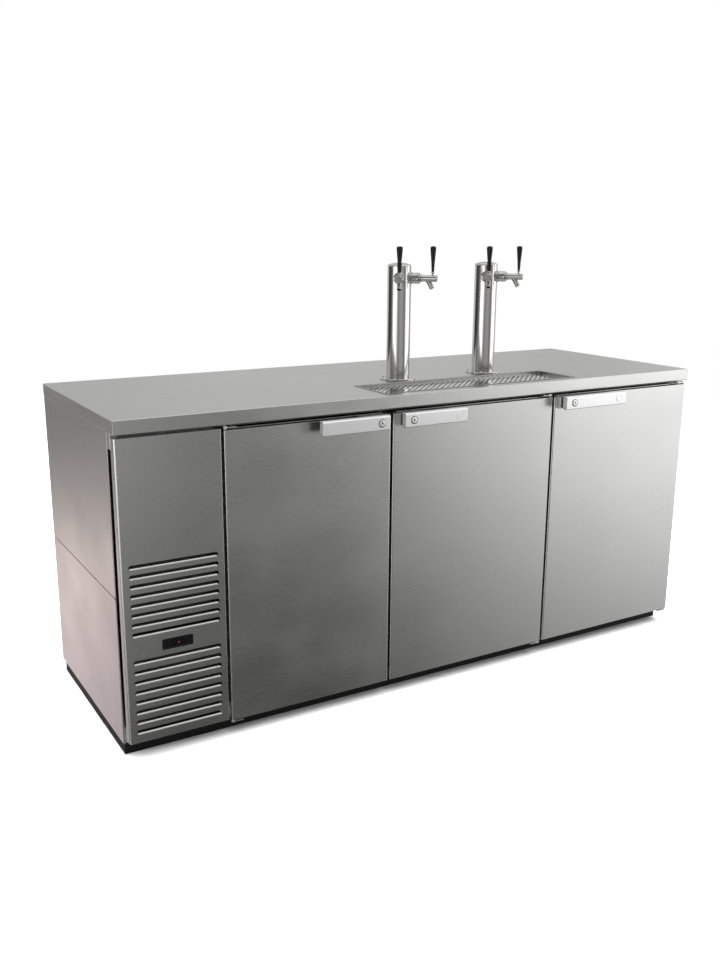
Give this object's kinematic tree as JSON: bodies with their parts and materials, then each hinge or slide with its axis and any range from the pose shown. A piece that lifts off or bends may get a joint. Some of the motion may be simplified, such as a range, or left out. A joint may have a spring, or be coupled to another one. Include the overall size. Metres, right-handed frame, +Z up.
{
  "type": "draft beer dispenser",
  "caption": "Refrigerated keg cabinet with hinged doors, a louvred machine bay, a steel worktop with a drip tray, and round towers with lever taps.",
  "frame": {"origin": "centre of the whole object's footprint, on the floor", "axes": "+X to the right along the cabinet's length as seen from the front, +Y from the doors to the back, +Z up"},
  "size_m": [2.007, 0.7516, 1.3333],
  "materials": {
    "cabinet_steel": "fine horizontal brushed stainless steel, satin",
    "side_steel": "brushed stainless steel side sheet, satin",
    "grille_steel": "brushed stainless steel with pressed louvres",
    "worktop_steel": "brushed stainless steel worktop, satin",
    "handle_steel": "bright satin stainless steel",
    "polished_steel": "polished stainless steel",
    "liner_metal": "smooth galvanised liner sheet over foam",
    "black_paint": "black satin powder coat",
    "black_plastic": "glossy black moulded plastic",
    "gasket_rubber": "soft grey magnetic gasket",
    "fin_metal": "bare aluminium fins",
    "line_foam": "black closed-cell foam sleeve"
  },
  "bodies": {
    "cabinet": {"back_wall": "cabinet_steel", "base_plinth": "black_paint", "bay_bulkhead": "liner_metal", "compressor": "black_paint", "condenser_coil": "fin_metal", "condenser_fan_motor": "black_paint", "drip_pan": "worktop_steel", "evaporator_coil": "fin_metal", "evaporator_cover": "liner_metal", "hinge_rail_bottom": "handle_steel", "hinge_rail_top": "handle_steel", "insulated_floor": "liner_metal", "left_side_panel_lower": "side_steel", "left_side_panel_upper": "side_steel", "machine_grille": "grille_steel", "mullion_left": "liner_metal", "mullion_right": "liner_metal", "right_side_wall": "cabinet_steel", "tap_1_body": "polished_steel", "tap_1_shank": "polished_steel", "tap_2_body": "polished_steel", "tap_2_shank": "polished_steel", "tap_3_body": "polished_steel", "tap_3_shank": "polished_steel", "tap_4_body": "polished_steel", "tap_4_shank": "polished_steel", "temperature_display": "black_plastic", "top_deck": "liner_metal", "tower_left_beer_lines": "line_foam", "tower_left_cap": "polished_steel", "tower_left_column": "polished_steel", "tower_left_flange": "polished_steel", "tower_right_beer_lines": "line_foam", "tower_right_cap": "polished_steel", "tower_right_column": "polished_steel", "tower_right_flange": "polished_steel", "worktop": "worktop_steel"},
    "door_1": {"door_1_panel": "cabinet_steel", "door_1_gasket": "gasket_rubber", "door_1_handle": "handle_steel"},
    "door_2": {"door_2_panel": "cabinet_steel", "door_2_gasket": "gasket_rubber", "door_2_handle": "handle_steel"},
    "door_3": {"door_3_panel": "cabinet_steel", "door_3_gasket": "gasket_rubber", "door_3_handle": "handle_steel"},
    "lock_1": {"door_1_lock": "handle_steel"},
    "lock_2": {"door_2_lock": "handle_steel"},
    "lock_3": {"door_3_lock": "handle_steel"},
    "tap_lever_1": {"tap_1_lever": "polished_steel", "tap_1_handle": "black_plastic"},
    "tap_lever_2": {"tap_2_lever": "polished_steel", "tap_2_handle": "black_plastic"},
    "tap_lever_3": {"tap_3_lever": "polished_steel", "tap_3_handle": "black_plastic"},
    "tap_lever_4": {"tap_4_lever": "polished_steel", "tap_4_handle": "black_plastic"},
    "condenser_fan_wheel": {"condenser_fan": "black_plastic"},
    "evaporator_fan_wheel": {"evaporator_fan": "black_plastic"},
    "drip_grid_insert": {"drip_grid": "handle_steel"}
  },
  "joints": [
    {"name": "door_1_hinge", "type": "hinge", "parent": "cabinet", "child": "door_1", "pos_m": [-0.7065, -0.31525, 0.4624], "axis": [0, 0, -1], "range_deg": [0, 110]},
    {"name": "door_2_hinge", "type": "hinge", "parent": "cabinet", "child": "door_2", "pos_m": [0.3935, -0.31525, 0.4624], "axis": [0, 0, 1], "range_deg": [0, 95]},
    {"name": "door_3_hinge", "type": "hinge", "parent": "cabinet", "child": "door_3", "pos_m": [0.9898, -0.31525, 0.4624], "axis": [0, 0, 1], "range_deg": [0, 110]},
    {"name": "door_1_lock_turn", "type": "hinge", "parent": "door_1", "child": "lock_1", "pos_m": [-0.2622, -0.37425, 0.8595], "axis": [0, -1, 0], "range_deg": [0, 90]},
    {"name": "door_2_lock_turn", "type": "hinge", "parent": "door_2", "child": "lock_2", "pos_m": [-0.1559, -0.37425, 0.8595], "axis": [0, -1, 0], "range_deg": [0, 90]},
    {"name": "door_3_lock_turn", "type": "hinge", "parent": "door_3", "child": "lock_3", "pos_m": [0.4464, -0.37425, 0.8595], "axis": [0, -1, 0], "range_deg": [0, 90]},
    {"name": "tap_1_pull", "type": "hinge", "parent": "cabinet", "child": "tap_lever_1", "pos_m": [-0.06442, -0.14235, 1.2415], "axis": [0.8406, -0.5417, 0], "range_deg": [0, 35]},
    {"name": "tap_2_pull", "type": "hinge", "parent": "cabinet", "child": "tap_lever_2", "pos_m": [0.06184, -0.13385, 1.2415], "axis": [0.7604, 0.6494, 0], "range_deg": [0, 35]},
    {"name": "tap_3_pull", "type": "hinge", "parent": "cabinet", "child": "tap_lever_3", "pos_m": [0.26988, -0.14235, 1.2415], "axis": [0.8406, -0.5417, 0], "range_deg": [0, 35]},
    {"name": "tap_4_pull", "type": "hinge", "parent": "cabinet", "child": "tap_lever_4", "pos_m": [0.39614, -0.13385, 1.2415], "axis": [0.7604, 0.6494, 0], "range_deg": [0, 35]},
    {"name": "condenser_fan_spin", "type": "hinge", "parent": "cabinet", "child": "condenser_fan_wheel", "pos_m": [-0.866, -0.17825, 0.33], "axis": [0, 1, 0], "continuous": true},
    {"name": "evaporator_fan_spin", "type": "hinge", "parent": "cabinet", "child": "evaporator_fan_wheel", "pos_m": [-0.6395, 0.14575, 0.64], "axis": [1, 0, 0], "continuous": true},
    {"name": "drip_grid_lift", "type": "slide", "parent": "cabinet", "child": "drip_grid_insert", "axis": [0, 0, 1], "range_m": [0, 0.15]}
  ]
}
